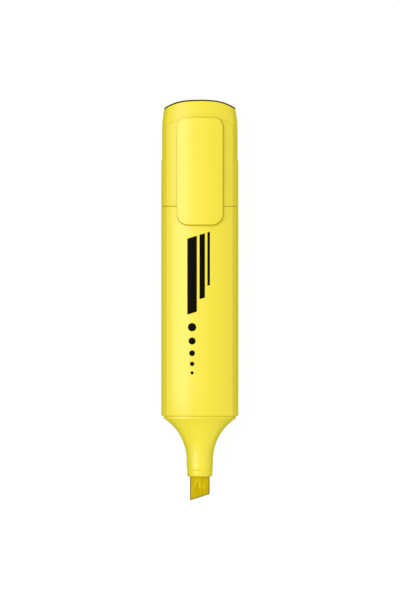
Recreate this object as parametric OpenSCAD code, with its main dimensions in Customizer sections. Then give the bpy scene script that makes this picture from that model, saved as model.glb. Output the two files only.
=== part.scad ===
// Flat-oval chisel highlighter, lying on its back with its clip cap pushed onto the tail.
// +Y runs from the nib to the cap, +Z points out through the pocket clip, and the back rests at Z = 0.
// Inside, each piece is drawn upright: its height is the distance from the nib's tip along the pen.

/* [Body] */
// Width of the oval body
body_w = 24; // [22:0.5:26]
// Thickness of the oval body, front face to back face
body_t = 15; // [13.5:0.5:17]
// Radius of the broad front and back faces
face_r = 17; // [15.5:0.5:22]
// Extra radius of the narrow sides over a tangent blend, which leaves a fine edge line
crease = 0.2; // [0.1:0.05:0.6]

/* [Barrel] */
// Length of the barrel between its two rims
barrel_len = 65.2; // [50:0.2:90]
// Wall of the barrel
barrel_wall = 1.4; // [1:0.1:2]
// Relief round each rim of the barrel
rim_relief = 0.12; // [0.05:0.01:0.3]
// Width of the ribs that hold the reservoir
rib_w = 0.9; // [0.6:0.1:1.5]
// Distance from the centre line to each pair of face ribs
rib_x = 4.2; // [2:0.1:6]

/* [Nose] */
// Length of the nose, from the barrel's rim to the mouth
nose_len = 19; // [17:0.2:24]
// Radius of the round neck at its mouth
neck_r = 3.9; // [3.7:0.05:4.4]
// How much the neck widens from its mouth to the foot of the flare
neck_draft = 0.2; // [0.05:0.05:0.3]
// Radius of the flare between the neck and the lip
flare_r = 15.5; // [14:0.5:20]
// Height of the lip that centres the cap's mouth
lip_len = 0.8; // [0.4:0.1:2]
// Rounding of the mouth's edge
mouth_round = 0.7; // [0.3:0.1:0.8]
// Height of the sealing bead above the neck
bead_h = 0.08; // [0.04:0.02:0.2]
// Radius of the sealing bead's own section
bead_r = 1.1; // [0.6:0.1:1.5]
// Distance of the sealing bead from the mouth
bead_at = 2.6; // [2:0.1:3.2]
// Radius of the breather channel behind the nib
breather_r = 0.45; // [0.2:0.05:0.6]

/* [Nib] */
// Length of the nib outside the nose, at its long corner
nib_out = 7.5; // [6:0.1:9]
// Length of the nib behind the mouth
nib_in = 26.5; // [24:0.5:30]
// Width of the nib
nib_w = 6.1; // [5:0.1:6.5]
// Thickness of the nib
nib_t = 4.4; // [3.6:0.1:5]
// Radius of the nib's rounded front and back
nib_face_r = 4; // [3.8:0.1:8]
// How much shorter the nib is at its other corner
nib_slant = 2.1; // [0:0.1:3]
// Thickness of the writing edge
nib_edge = 1.7; // [0.8:0.1:2.5]
// Length of the two chisel facets
facet_len = 6.2; // [4:0.1:7]

/* [Tail plug] */
// Length of the spigot that the cap is pushed onto
spigot_len = 12; // [8:0.5:13.5]
// Wall of the spigot
spigot_wall = 1.2; // [0.8:0.1:1.6]
// Length of the skirts pressed into the barrel, at nose and tail
skirt_len = 7; // [5:0.5:10]
// Wall of those skirts
skirt_wall = 1; // [0.7:0.1:1.3]
// Width of the air grooves down the spigot's sides
groove_w = 1.6; // [1:0.1:2.4]
// Depth of those air grooves
groove_d = 0.4; // [0.2:0.05:0.6]

/* [Reservoir] */
// Thickness of the film round the fibre core
film_t = 0.2; // [0.1:0.05:0.4]
// How far the film stops short of each end of the core
film_short = 1; // [0.5:0.5:4]
// Gap between the reservoir and the lip of the nose
core_gap = 0.3; // [0.1:0.1:1]

/* [Cap] */
// Length of the cap, from its mouth to the top of its arched end
cap_len = 33.1; // [32:0.1:38]
// Wall of the cap at its mouth
cap_wall = 0.65; // [0.5:0.05:0.9]
// Wall of the cap deep inside
deep_wall = 1.5; // [1.4:0.05:1.7]
// Depth at which the cap's wall steps in
step_depth = 24; // [20:0.5:24.5]
// How far the cap's walls draw in between its mouth and their arched upper edge
cap_draft = 0.15; // [0.05:0.05:0.3]
// How far the cap's narrow sides stand in above their grips
side_in = 0.22; // [0.16:0.02:0.24]
// Length of those grips, from the cap's mouth
grip_len = 14; // [8:0.5:18]
// Length of the grips' stepped upper ends
grip_slope = 0.8; // [0.4:0.1:2]
// Step from the walls' upper edge down to the crown
crown_step = 0.15; // [0.15:0.05:0.3]
// How far the crown draws in at the end
crown_draft = 1.35; // [0.6:0.05:1.6]
// Height of the tapering part of the crown
taper_len = 6.8; // [5.5:0.1:8]
// Radius of the arched end's two shoulders, seen from the front
dome_r = 16; // [13:0.2:25]
// Distance of the shoulders' centres from the pen's middle
dome_half = 2.6; // [1:0.1:5]
// Radius of the arched end's middle
top_r = 48; // [30:1:80]
// Height of the crown above the walls' upper edge, on the centre line
crown_len = 5.4; // [4.6:0.1:6]
// Radius of the walls' arched upper edge, seen from the front
ledge_r = 24; // [18:0.5:40]

/* [Inner cap] */
// Thickness of the lid over the cap's end
lid_t = 0.4; // [0.3:0.05:0.8]
// Depth of the plug below the top of the lid
plug_depth = 3.6; // [3.2:0.1:4.5]
// How far the plug stands in from the body's outline
plug_in = 2.4; // [2.2:0.1:2.8]
// Depth from the cap's mouth to the sealing sleeve
sleeve_depth = 15; // [14.5:0.1:16.5]
// Wall of the sealing sleeve
sleeve_wall = 0.9; // [0.6:0.05:1.1]

/* [Pocket clip] */
// Length of the clip
clip_len = 33.25; // [28:0.05:38]
// Width of the clip
clip_w = 14.3; // [11:0.1:16]
// Thickness of the clip
clip_t = 0.8; // [0.7:0.05:1.4]
// Gap between the clip and the body
clip_gap = 0.4; // [0.35:0.05:1.4]
// Distance of the clip's root edge below the walls' upper edge
clip_below = 0.2; // [0.1:0.1:1]
// Corner radius of the clip at its root
root_corner = 2.8; // [1:0.1:4]
// Corner radius of the clip at its tip
tip_corner = 3.4; // [1:0.1:5]
// Radius of the bead on which the clip turns
pivot_r = 0.45; // [0.35:0.05:0.5]
// How deep the middle of that bead sits in the cap's wall
pivot_sink = 0.38; // [0.3:0.02:0.4]
// Distance of that bead below the walls' upper edge
pivot_below = 2; // [1.8:0.1:2.2]
// Width of the bead and of the stem that carries the clip
root_w = 5; // [3:0.5:6]
// Thickness of that stem
root_t = 0.6; // [0.4:0.05:0.6]
// Width of the grip bump
bump_w = 7; // [4:0.5:10]
// Length of the grip bump
bump_len = 2.4; // [1.5:0.1:4]
// Distance of the grip bump from the clip's tip
bump_at = 1.4; // [0.8:0.1:4]

/* [Clearances] */
// Clearance of the cap on the lip and on the spigot
cap_fit = 0.1; // [0.05:0.01:0.2]
// Gap between the cap's mouth and the barrel's rim
seam_gap = 0.15; // [0.1:0.05:0.4]
// Clearance of pressed-in pieces
press_fit = 0.04; // [0.02:0.01:0.08]
// Clearance round the reservoir and at its far end
core_play = 0.15; // [0.1:0.05:0.4]
// Clearance round the clip's bead
pivot_play = 0.12; // [0.1:0.01:0.14]
// Gap under the clip's bump
face_play = 0.2; // [0.15:0.05:0.3]

/* [Hidden] */
$fn = 96;
neon = [0.98, 0.92, 0.32];
neon_clip = [0.97, 0.9, 0.28];
amber = [0.82, 0.69, 0.02];
smoke = [0.2, 0.19, 0.05];
fibre = [0.93, 0.86, 0.2];
film = [0.9, 0.9, 0.8];
slice = 0.01;
loft_sides = 72;
loft_steps = 13;
loft_seat = 0.02;
past = 1;

// Places along the pen, measured from the nib's tip
mouth_at = nib_out;
shoulder_at = mouth_at + nose_len;
seam_at = shoulder_at + barrel_len;
end_at = seam_at + cap_len;
cap_mouth_at = seam_at + seam_gap;
grip_at = cap_mouth_at + grip_len;
spigot_end_at = seam_at + spigot_len;
lip_at = shoulder_at - lip_len;
ledge_at = end_at - crown_len;
taper_at = end_at - taper_len;
clip_top_at = ledge_at - clip_below;
clip_tip_at = clip_top_at - clip_len;
pivot_at = ledge_at - pivot_below;
plug_at = end_at - plug_depth;
nib_len = nib_out + nib_in;

// The oval: two broad faces and two narrow sides, each an arc
half_w = body_w / 2;
half_t = body_t / 2;
face_c = face_r - half_t;
tangent_r = (2 * face_r * half_t - half_w * half_w - half_t * half_t) / (2 * (face_r - half_w));
side_r = tangent_r + crease;
side_c = half_w - side_r;
centre_gap = sqrt(side_c * side_c + face_c * face_c);

// Insets from the body's outline
lip_in = cap_wall + cap_fit;
skirt_in = barrel_wall + press_fit;
film_in = skirt_in + skirt_wall + core_play;
core_in = film_in + film_t;

// The flare: an arc that leaves the neck along the pen and ends at the lip
foot_r = neck_r + neck_draft;
flare_rise = half_w - lip_in - foot_r;
flare_turn = acos(1 - flare_rise / flare_r);
flare_at = lip_at - flare_r * sin(flare_turn);
bead_top = neck_r + neck_draft * (bead_at - mouth_round) / (flare_at - mouth_at - mouth_round) + bead_h;

// The clip's own levels above the pen's axis
clip_mid_y = half_t + clip_gap + clip_t / 2;
pivot_y = half_t - cap_draft - pivot_sink;

// Distance from a face's centre to the chord where face and side arcs cross, at an inset
function chord_at(inset) =
    (pow(face_r - inset, 2) - pow(side_r - inset, 2) + centre_gap * centre_gap) / (2 * centre_gap);

// The point where face and side arcs cross, at an inset
function edge_point(inset) =
    let (along = chord_at(inset), across = sqrt(pow(face_r - inset, 2) - along * along))
    [(along * side_c + across * face_c) / centre_gap,
     (along * face_c - across * side_c) / centre_gap - face_c];

// The oval's point whose surface faces the given angle
function oval_point(inset, angle) =
    let (edge = edge_point(inset),
         turn = atan2(abs(sin(angle)), abs(cos(angle))),
         quarter = turn <= atan2(edge.y, edge.x - side_c)
             ? [side_c + (side_r - inset) * cos(turn), (side_r - inset) * sin(turn)]
             : turn >= atan2(edge.y + face_c, edge.x)
                 ? [(face_r - inset) * cos(turn), (face_r - inset) * sin(turn) - face_c]
                 : edge)
    [sign(cos(angle)) * quarter.x, sign(sin(angle)) * quarter.y];

// Body outline, drawn in by an inset
module oval(inset) {
    intersection() {
        translate([0, -face_c]) circle(r = face_r - inset);
        translate([0, face_c]) circle(r = face_r - inset);
        union() {
            square([2 * chord_at(inset) * side_c / centre_gap, 2 * body_t], center = true);
            for (side = [-1, 1]) translate([side * side_c, 0]) circle(r = side_r - inset);
        }
    }
}

// Nib outline, with room round it
module nib_outline(room) {
    intersection() {
        for (side = [-1, 1])
            translate([0, side * (nib_t / 2 - nib_face_r)]) circle(r = nib_face_r + room);
        square([nib_w + 2 * room, nib_t + 2 * room], center = true);
    }
}

// Extrudes an outline between two places along the pen
module stretch(from, to) {
    translate([0, 0, from]) linear_extrude(height = to - from) children();
}

// A round bar across the pen's thickness, which arches an outline seen from the front
module arch(centre_at, r) {
    translate([0, 0, centre_at]) rotate([90, 0, 0]) cylinder(r = r, h = 4 * body_t, center = true);
}

// The cap's arched end, seen from the front: a flat middle arc between two round shoulders
module dome(drop) {
    shoulder_at = end_at - top_r + sqrt(pow(top_r, 2) - pow(dome_half, 2)) - dome_r;
    intersection() {
        arch(end_at - top_r, top_r - drop);
        union() {
            for (side = [-1, 1]) translate([side * dome_half, 0, 0]) arch(shoulder_at, dome_r - drop);
            translate([0, 0, shoulder_at]) cube([2 * dome_half + past, 4 * body_t, 4 * dome_r], center = true);
            translate([0, 0, shoulder_at - cap_len])
                cube([2 * (dome_half + dome_r), 4 * body_t, 2 * cap_len], center = true);
        }
    }
}

// Lays an upright piece on its back, centred over the origin
module laid() {
    translate([0, -end_at / 2, half_t]) rotate([90, 0, 180]) children();
}

// Oval-to-round flare of the nose, lofted through rings that share their surface angles
module flare() {
    half_step = 180 / loft_sides;
    rings = [for (step = [0 : loft_steps])
        let (turn = flare_turn * step / loft_steps,
             share = flare_r * (1 - cos(turn)) / flare_rise,
             at = flare_at + flare_r * sin(turn))
        [for (i = [0 : loft_sides - 1])
            let (angle = half_step * (2 * i + 1),
                 round = (foot_r - loft_seat) * [cos(angle), sin(angle)],
                 flat = oval_point(lip_in + loft_seat, angle),
                 spot = (1 - share) * round + share * flat)
            [spot.x, spot.y, at]]];
    points = [for (ring = rings) each ring];
    walls = [for (step = [0 : loft_steps - 1], i = [0 : loft_sides - 1])
        let (a = step * loft_sides + i,
             b = step * loft_sides + (i + 1) % loft_sides,
             c = a + loft_sides,
             d = b + loft_sides)
        each [[a, c, b], [b, c, d]]];
    floor_face = [for (i = [0 : loft_sides - 1]) i];
    roof_face = [for (i = [loft_sides - 1 : -1 : 0]) loft_steps * loft_sides + i];
    polyhedron(points, concat(walls, [floor_face, roof_face]));
}

// Moulded tube with ribs between the two skirts
module barrel() {
    color(neon) laid() {
        difference() {
            union() {
                stretch(shoulder_at, seam_at) oval(rim_relief);
                stretch(shoulder_at + rim_relief, seam_at - rim_relief) oval(0);
            }
            stretch(shoulder_at - past, seam_at + past) oval(barrel_wall);
        }
        stretch(shoulder_at + skirt_len + core_play, seam_at - skirt_len - core_play) difference() {
            intersection() {
                oval(barrel_wall / 2);
                union() {
                    square([body_w, rib_w], center = true);
                    for (side = [-1, 1]) translate([side * rib_x, 0]) square([rib_w, body_t], center = true);
                }
            }
            oval(film_in - core_play);
        }
    }
}

// Neck of the nose: a turned profile with a rounded mouth and a low sealing bead
module neck() {
    rotate_extrude() {
        polygon([[0, mouth_at + mouth_round], [neck_r, mouth_at + mouth_round],
                 [foot_r, flare_at + slice], [0, flare_at + slice]]);
        translate([0, mouth_at]) square([neck_r - mouth_round, mouth_round * 2]);
        translate([neck_r - mouth_round, mouth_at + mouth_round]) circle(r = mouth_round);
        translate([bead_top - bead_r, mouth_at + bead_at]) circle(r = bead_r);
    }
}

// Nose pressed into the front of the barrel
module front_section() {
    channel_end = lip_at - lip_len;
    color(neon) laid() difference() {
        union() {
            neck();
            flare();
            stretch(lip_at - slice, shoulder_at) oval(lip_in);
            stretch(shoulder_at - slice, shoulder_at + skirt_len) oval(skirt_in);
        }
        stretch(mouth_at - past, shoulder_at + past) nib_outline(press_fit);
        translate([0, -nib_t / 2, mouth_at - past])
            cylinder(r = breather_r, h = shoulder_at - mouth_at + 2 * past);
        translate([0, 0, flare_at])
            cylinder(r1 = nib_w / 2, r2 = half_t - film_in, h = channel_end - flare_at);
        translate([0, 0, channel_end]) cylinder(r = half_t - film_in, h = shoulder_at - channel_end + past);
        stretch(shoulder_at, shoulder_at + skirt_len + past) oval(skirt_in + skirt_wall);
    }
}

// Fibre tip: rounded bar with two chisel facets, a slanted end and a wedge at its rear
module nib() {
    slant = atan2(nib_slant, nib_w);
    lean = atan2((nib_t - nib_edge) / 2, facet_len);
    cut = 4 * nib_len;
    color(amber) laid() difference() {
        stretch(0, nib_len) nib_outline(0);
        translate([nib_w / 2, 0, 0]) rotate([0, slant, 0]) translate([0, 0, -cut / 2]) cube(cut, center = true);
        for (side = [0, 180]) rotate([0, 0, side]) {
            translate([0, nib_t / 2, facet_len]) rotate([-lean, 0, 0]) translate([0, cut / 2, -cut / 2])
                cube(cut, center = true);
            translate([0, nib_t / 2, nib_len - facet_len]) rotate([lean, 0, 0])
                translate([0, cut / 2, cut / 2]) cube(cut, center = true);
        }
    }
}

// Ink-soaked core with a pocket for the nib's rear
module reservoir_fibre() {
    color(fibre) laid() difference() {
        stretch(shoulder_at + core_gap, spigot_end_at - spigot_wall - core_play) oval(core_in);
        stretch(shoulder_at, nib_len + core_play) nib_outline(press_fit);
    }
}

// Film sleeve round the core, open at both ends
module reservoir_film() {
    color(film) laid()
        stretch(shoulder_at + core_gap + film_short, spigot_end_at - spigot_wall - core_play - film_short)
            difference() {
                oval(film_in);
                oval(core_in - press_fit);
            }
}

// Plug that closes the barrel; its spigot carries the posted cap
module tail_plug() {
    color(neon) laid() difference() {
        union() {
            stretch(seam_at - skirt_len, seam_at + slice) oval(skirt_in);
            stretch(seam_at, spigot_end_at) oval(lip_in);
        }
        stretch(seam_at - skirt_len - past, spigot_end_at - spigot_wall) oval(skirt_in + skirt_wall);
        for (side = [-1, 1])
            translate([side * (half_w - lip_in), 0, seam_at + spigot_len / 2])
                cube([2 * groove_d, groove_w, spigot_len + past], center = true);
    }
}

// Cuts the cap's narrow sides back above a place, by arcs that leave the fine edge lines where they are
module side_cut(from, depth) {
    edge = edge_point(0);
    reach = half_w - depth;
    centre = (reach * reach - edge.x * edge.x - edge.y * edge.y) / (2 * (reach - edge.x));
    stretch(from, end_at + past) difference() {
        square(4 * body_w, center = true);
        square([2 * edge.x - depth, 2 * body_t], center = true);
        for (side = [-1, 1]) translate([side * centre, 0]) circle(r = reach - centre);
    }
}

// Outer form of the cap: drafted oval walls with grips and an arched upper edge, and the tapering crown inside
module cap_form() {
    intersection() {
        difference() {
            hull() {
                stretch(cap_mouth_at, cap_mouth_at + slice) oval(0);
                stretch(ledge_at, ledge_at + slice) oval(cap_draft);
            }
            side_cut(grip_at - grip_slope, side_in * 0.7);
            side_cut(grip_at, side_in);
        }
        arch(ledge_at - ledge_r, ledge_r);
    }
    hull() {
        stretch(taper_at - crown_len, taper_at) oval(cap_draft + crown_step);
        stretch(end_at, end_at + slice) oval(crown_draft);
    }
}

// Cap, open at its mouth and at its end, with the groove for the clip's bead in its front wall
module cap_shell() {
    color(neon) laid() difference() {
        intersection() {
            cap_form();
            dome(lid_t);
        }
        stretch(seam_at, seam_at + step_depth) oval(cap_wall);
        stretch(seam_at, plug_at) oval(deep_wall);
        stretch(seam_at, end_at + past) oval(plug_in - press_fit);
        translate([0, pivot_y, pivot_at]) rotate([0, 90, 0])
            cylinder(r = pivot_r + pivot_play, h = root_w + 2 * pivot_play, center = true);
    }
}

// Dark moulding pressed into the cap's end: arched lid, oval plug and round sealing sleeve
module inner_cap() {
    bore_r = bead_top + press_fit;
    color(smoke) laid() difference() {
        union() {
            difference() {
                intersection() {
                    cap_form();
                    dome(0);
                }
                dome(lid_t);
            }
            intersection() {
                stretch(plug_at, end_at) oval(plug_in);
                dome(lid_t / 2);
            }
            translate([0, 0, seam_at + sleeve_depth])
                cylinder(r = bore_r + sleeve_wall, h = plug_at - seam_at - sleeve_depth + lid_t);
        }
        translate([0, 0, seam_at]) cylinder(r = bore_r, h = plug_at - seam_at);
        translate([0, 0, seam_at + sleeve_depth - slice])
            cylinder(r1 = bore_r + sleeve_wall / 2, r2 = bore_r, h = sleeve_wall);
    }
}

// Outline of the clip seen from the front, with rounded corners
module clip_front() {
    rotate([90, 0, 0]) linear_extrude(height = 4 * body_t, center = true) {
        for (side = [-1, 1]) {
            translate([side * (clip_w / 2 - root_corner), clip_top_at - root_corner]) circle(r = root_corner);
            translate([side * (clip_w / 2 - tip_corner), clip_tip_at + tip_corner]) circle(r = tip_corner);
        }
        translate([-clip_w / 2, clip_tip_at + tip_corner]) square([clip_w, clip_len - tip_corner - root_corner]);
        translate([root_corner - clip_w / 2, clip_top_at - 2 * root_corner])
            square([clip_w - 2 * root_corner, 2 * root_corner]);
        translate([tip_corner - clip_w / 2, clip_tip_at]) square([clip_w - 2 * tip_corner, 2 * tip_corner]);
    }
}

// Curved bar of the clip between two heights over the front face
module clip_band(low, high, width) {
    intersection() {
        difference() {
            translate([0, -face_c]) circle(r = face_r + high);
            translate([0, -face_c]) circle(r = face_r + low);
        }
        translate([0, body_t]) square([width, 2 * body_t], center = true);
    }
}

// Clip: curved plate, stem with a round bead in the cap's groove, and a grip bump at the tip
module pocket_clip() {
    color(neon_clip) laid() {
        intersection() {
            stretch(clip_tip_at - past, clip_top_at + past)
                clip_band(clip_gap, clip_gap + clip_t, clip_w + 2 * past);
            clip_front();
        }
        translate([-root_w / 2, pivot_y, pivot_at - root_t / 2]) cube([root_w, clip_mid_y - pivot_y, root_t]);
        translate([0, pivot_y, pivot_at]) rotate([0, 90, 0]) cylinder(r = pivot_r, h = root_w - 2 * pivot_play, center = true);
        stretch(clip_tip_at + bump_at, clip_tip_at + bump_at + bump_len)
            clip_band(face_play, clip_gap + clip_t / 2, bump_w);
    }
}

barrel();
front_section();
nib();
reservoir_fibre();
reservoir_film();
tail_plug();
cap_shell();
inner_cap();
pocket_clip();
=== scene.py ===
import math

import bmesh
import bpy
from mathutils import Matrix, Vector


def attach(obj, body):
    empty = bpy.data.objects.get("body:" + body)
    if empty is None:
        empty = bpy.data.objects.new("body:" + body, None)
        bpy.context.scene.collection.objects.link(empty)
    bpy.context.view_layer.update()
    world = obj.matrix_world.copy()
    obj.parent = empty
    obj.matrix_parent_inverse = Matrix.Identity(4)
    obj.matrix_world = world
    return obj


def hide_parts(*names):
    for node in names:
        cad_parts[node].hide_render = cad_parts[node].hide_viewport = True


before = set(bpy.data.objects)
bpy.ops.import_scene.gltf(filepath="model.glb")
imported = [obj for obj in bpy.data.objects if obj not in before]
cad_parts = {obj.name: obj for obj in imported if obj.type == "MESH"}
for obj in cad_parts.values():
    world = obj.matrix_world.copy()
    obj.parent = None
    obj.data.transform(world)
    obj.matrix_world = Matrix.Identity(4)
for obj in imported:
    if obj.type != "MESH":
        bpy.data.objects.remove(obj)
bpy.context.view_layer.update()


# Stage: a sheet of white paper in a soft room that is brighter above and to the right, with a soft
# box on the left and a panel overhead. The camera looks straight down on the front of the pen.
MM = 0.001
AXIS_Z = 7.5
FRAME_H = 186.7
LENS = 800.0
SENSOR = 36.0
AIM_X, AIM_Y = 0.06, 0.14
CAMERA_FAR = 20.0

scene = bpy.context.scene
scene.view_settings.view_transform = "Standard"

lens_data = bpy.data.cameras.new("front_camera")
lens_data.lens = LENS
lens_data.sensor_width = SENSOR
lens_data.clip_end = CAMERA_FAR
camera = bpy.data.objects.new("front_camera", lens_data)
camera.location = Vector((AIM_X, AIM_Y, AXIS_Z + FRAME_H * LENS / SENSOR)) * MM
scene.collection.objects.link(camera)
scene.camera = camera


def feed(tree, value, socket):
    """Links another node's output to a socket, or writes a number or a colour to it."""
    if isinstance(value, bpy.types.NodeSocket):
        tree.links.new(value, socket)
    else:
        socket.default_value = (*value, 1.0) if isinstance(value, tuple) else value


def sum_node(tree, operation, *values):
    """A Math node on numbers or other nodes' outputs."""
    node = tree.nodes.new("ShaderNodeMath")
    node.operation = operation
    for value, socket in zip(values, node.inputs):
        feed(tree, value, socket)
    return node.outputs[0]


def range_node(tree, value, start, end, low, high):
    """A Map Range node, which turns start to end into low to high."""
    node = tree.nodes.new("ShaderNodeMapRange")
    for given, socket in zip((value, start, end, low, high), node.inputs):
        feed(tree, given, socket)
    return node.outputs[0]


def seen_directly(tree):
    """Is 1 for camera, glossy and transmission rays, which see the background's own white."""
    rays = tree.nodes.new("ShaderNodeLightPath").outputs
    seen = sum_node(tree, "MAXIMUM", rays["Is Camera Ray"], rays["Is Glossy Ray"])
    return sum_node(tree, "MAXIMUM", seen, rays["Is Transmission Ray"])


WHITE = (1.0, 1.0, 1.0)
ROOM_LIGHT = 0.41
ROOM_SLANT = (0.27, 0.0, 0.5)
room = bpy.data.worlds.new("soft_room")
room.use_nodes = True
scene.world = room
room_tree = room.node_tree
towards = room_tree.nodes.new("ShaderNodeTexCoord")
slant = room_tree.nodes.new("ShaderNodeVectorMath")
slant.operation = "DOT_PRODUCT"
feed(room_tree, towards.outputs["Generated"], slant.inputs[0])
slant.inputs[1].default_value = ROOM_SLANT
glow = sum_node(room_tree, "ADD", slant.outputs["Value"], ROOM_LIGHT)
level = range_node(room_tree, seen_directly(room_tree), 0.0, 1.0, glow, 1.0)
sky = room_tree.nodes["Background"]
feed(room_tree, WHITE, sky.inputs["Color"])
feed(room_tree, level, sky.inputs["Strength"])

PAPER_WHITE = 0.1
PAPER_BOUNCE = 0.24
PAPER_LIFT = 0.92
paper = bpy.data.materials.new("white_paper")
paper.use_nodes = True
paper_tree = paper.node_tree
paper_tree.nodes.clear()
paper_seen = seen_directly(paper_tree)
grain = paper_tree.nodes.new("ShaderNodeBsdfDiffuse")
bounce = range_node(paper_tree, paper_seen, 0.0, 1.0, PAPER_BOUNCE, PAPER_WHITE)
feed(paper_tree, bounce, grain.inputs["Color"])
lift = paper_tree.nodes.new("ShaderNodeEmission")
feed(paper_tree, sum_node(paper_tree, "MULTIPLY", paper_seen, PAPER_LIFT), lift.inputs["Strength"])
lifted = paper_tree.nodes.new("ShaderNodeAddShader")
feed(paper_tree, grain.outputs[0], lifted.inputs[0])
feed(paper_tree, lift.outputs[0], lifted.inputs[1])
paper_out = paper_tree.nodes.new("ShaderNodeOutputMaterial")
feed(paper_tree, lifted.outputs[0], paper_out.inputs["Surface"])

SHEET_HALF = 2.0
SHEET_DROP = 0.05
sheet_mesh = bpy.data.meshes.new("paper_sheet")
sheet_bm = bmesh.new()
bmesh.ops.create_grid(sheet_bm, x_segments=2, y_segments=2, size=SHEET_HALF)
bmesh.ops.translate(sheet_bm, verts=sheet_bm.verts, vec=(0, 0, -SHEET_DROP * MM))
sheet_bm.to_mesh(sheet_mesh)
sheet_bm.free()
sheet_mesh.materials.append(paper)
sheet = bpy.data.objects.new("paper_sheet", sheet_mesh)
scene.collection.objects.link(sheet)


def soft_light(name, place, wide, tall, watts):
    """A rectangular lamp that faces the pen, its place and sizes in metres."""
    lamp = bpy.data.lights.new(name, "AREA")
    lamp.shape = "RECTANGLE"
    lamp.size = wide
    lamp.size_y = tall
    lamp.energy = watts
    holder = bpy.data.objects.new(name, lamp)
    holder.location = place
    holder.rotation_euler = Vector(place).to_track_quat("Z", "Y").to_euler()
    holder.visible_camera = False
    scene.collection.objects.link(holder)


soft_light("left_soft_box", place=(-1.607, 0.24, 1.915), wide=1.35, tall=1.84, watts=21.4)
soft_light("overhead_panel", place=(-0.1, 0.1, 2.49), wide=1.1, tall=1.34, watts=2.6)


# Barrel: the flat oval tube that holds the ink, moulded in one go from fluorescent yellow plastic.
# A fine groove runs where each broad face meets a narrow side, and the rear seam is painted dark as
# shade.
# The front carries a plain printed scale of line widths in black ink.
HALF_W = 12.0
HALF_T = 7.5
FACE_R = 17.0
SIDE_R = 5.675
FACE_STEPS = 20
SIDE_STEPS = 16
WITNESS_HALF = 0.16
WITNESS_DEEP = 0.12
BARREL_FRONT = -35.9
BARREL_REAR = 29.2
BARREL_WALL = 1.4
BARREL_RIM = 0.08
TUBE_ROWS = 8
SEAM_RIM = 0.13
STOP_IN = 0.15
STOP_END = 29.32
SPIGOT_IN = 0.74
NEAR = 0.001
WELD = 0.0005
MERGE = 0.0001
SHARP_DEG = 32


def walk_loop(bm):
    """Points of a closed outline in X and Z, clockwise from its highest point."""
    start = max(bm.verts, key=lambda v: (round(v.co.z, 6), -abs(v.co.x)))
    loop = [start]
    step = max((e.other_vert(start) for e in start.link_edges), key=lambda v: v.co.x)
    while step != start:
        loop.append(step)
        step = next(o for o in (e.other_vert(step) for e in step.link_edges) if o != loop[-2])
    return [Vector((v.co.x, v.co.z)) for v in loop]


def spin_outline(top, arcs):
    """Spins a quarter outline from its top, arc by arc, and mirrors it to the full outline."""
    bm = bmesh.new()
    tip = bm.verts.new((0, 0, top))
    for x, z, turn, steps in arcs:
        spun = bmesh.ops.spin(bm, geom=[tip], cent=(x, 0, z), axis=(0, 1, 0),
                              angle=turn, steps=steps)
        tip = next(g for g in spun["geom_last"] if isinstance(g, bmesh.types.BMVert))
    if tip.co.z > NEAR:
        flat = bmesh.ops.extrude_vert_indiv(bm, verts=[tip])["verts"][0]
        flat.co.z = 0
    for axis in "XZ":
        bmesh.ops.mirror(bm, geom=bm.verts[:] + bm.edges[:], merge_dist=MERGE, axis=axis)
    spots = walk_loop(bm)
    bm.free()
    return spots


def facings_of(spots):
    """The way that each point of a clockwise outline faces."""
    facings = []
    for i, spot in enumerate(spots):
        ahead = spots[(i + 1) % len(spots)]
        along = (spot - spots[i - 1]).normalized() + (ahead - spot).normalized()
        facings.append(Vector((-along.y, along.x)).normalized())
    return facings


face_c = FACE_R - HALF_T
side_c = HALF_W - SIDE_R
centre_gap = math.hypot(face_c, side_c)
chord = (FACE_R ** 2 - SIDE_R ** 2 + centre_gap ** 2) / (2 * centre_gap)
half_chord = math.sqrt(FACE_R ** 2 - chord ** 2)
crease_x = (chord * side_c + half_chord * face_c) / centre_gap
crease_z = (chord * face_c - half_chord * side_c) / centre_gap - face_c
face_edge = WITNESS_HALF / FACE_R
side_edge = WITNESS_HALF / SIDE_R
OVAL = spin_outline(HALF_T, [
    (0, -face_c, math.asin(crease_x / FACE_R) - face_edge, FACE_STEPS),
    (0, -face_c, face_edge, 1),
    (side_c, 0, side_edge, 1),
    (side_c, 0, math.asin(crease_z / SIDE_R) - side_edge, SIDE_STEPS),
])
FACING = facings_of(OVAL)
ROUND = range(len(OVAL))
CREASED = {i for i in ROUND if abs(abs(OVAL[i].x) - crease_x) < NEAR}


def in_pen(spot, y):
    """Place of a point that is given across the pen, about its axis, and along it."""
    return Vector((spot.x, y, AXIS_Z + spot.y)) * MM


def on_oval(i, y, inset, groove=0.0):
    """Place of one point of the body's outline, drawn in by an inset."""
    return in_pen(OVAL[i] - (inset + (groove if i in CREASED else 0.0)) * FACING[i], y)


def rings_of(point, stations, around=ROUND):
    """Rings of places, one for each station along the pen."""
    return [[point(i, *station) for i in around] for station in stations]


def ring_edges(bm, ring):
    return [bm.edges.get((ring[i - 1], ring[i])) for i in range(len(ring))]


def first_ring(bm, places):
    ring = bmesh.ops.create_circle(bm, segments=len(places), radius=MM)["verts"]
    for vert, place in zip(ring, places):
        vert.co = place
    return ring


def next_ring(bm, ring, places):
    """Extrudes a ring's edges and moves the new ring into place, point by point."""
    drawn = bmesh.ops.extrude_edge_only(bm, edges=ring_edges(bm, ring))["geom"]
    fresh = {g for g in drawn if isinstance(g, bmesh.types.BMVert)}
    grown = []
    for vert, place in zip(ring, places):
        twin = next(o for o in (e.other_vert(vert) for e in vert.link_edges) if o in fresh)
        twin.co = place
        grown.append(twin)
    return grown


def grow(bm, rings):
    """Grows a skin through a list of rings and gives back its first and last ring."""
    start = ring = first_ring(bm, rings[0])
    for places in rings[1:]:
        ring = next_ring(bm, ring, places)
    return start, ring


def grow_closed(bm, rings):
    """Grows a skin and closes both of its ends."""
    for ring in grow(bm, rings):
        bmesh.ops.contextual_create(bm, geom=ring_edges(bm, ring))


def quarter_turns(steps):
    return [math.pi / 2 * k / steps for k in range(steps + 1)]


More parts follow.
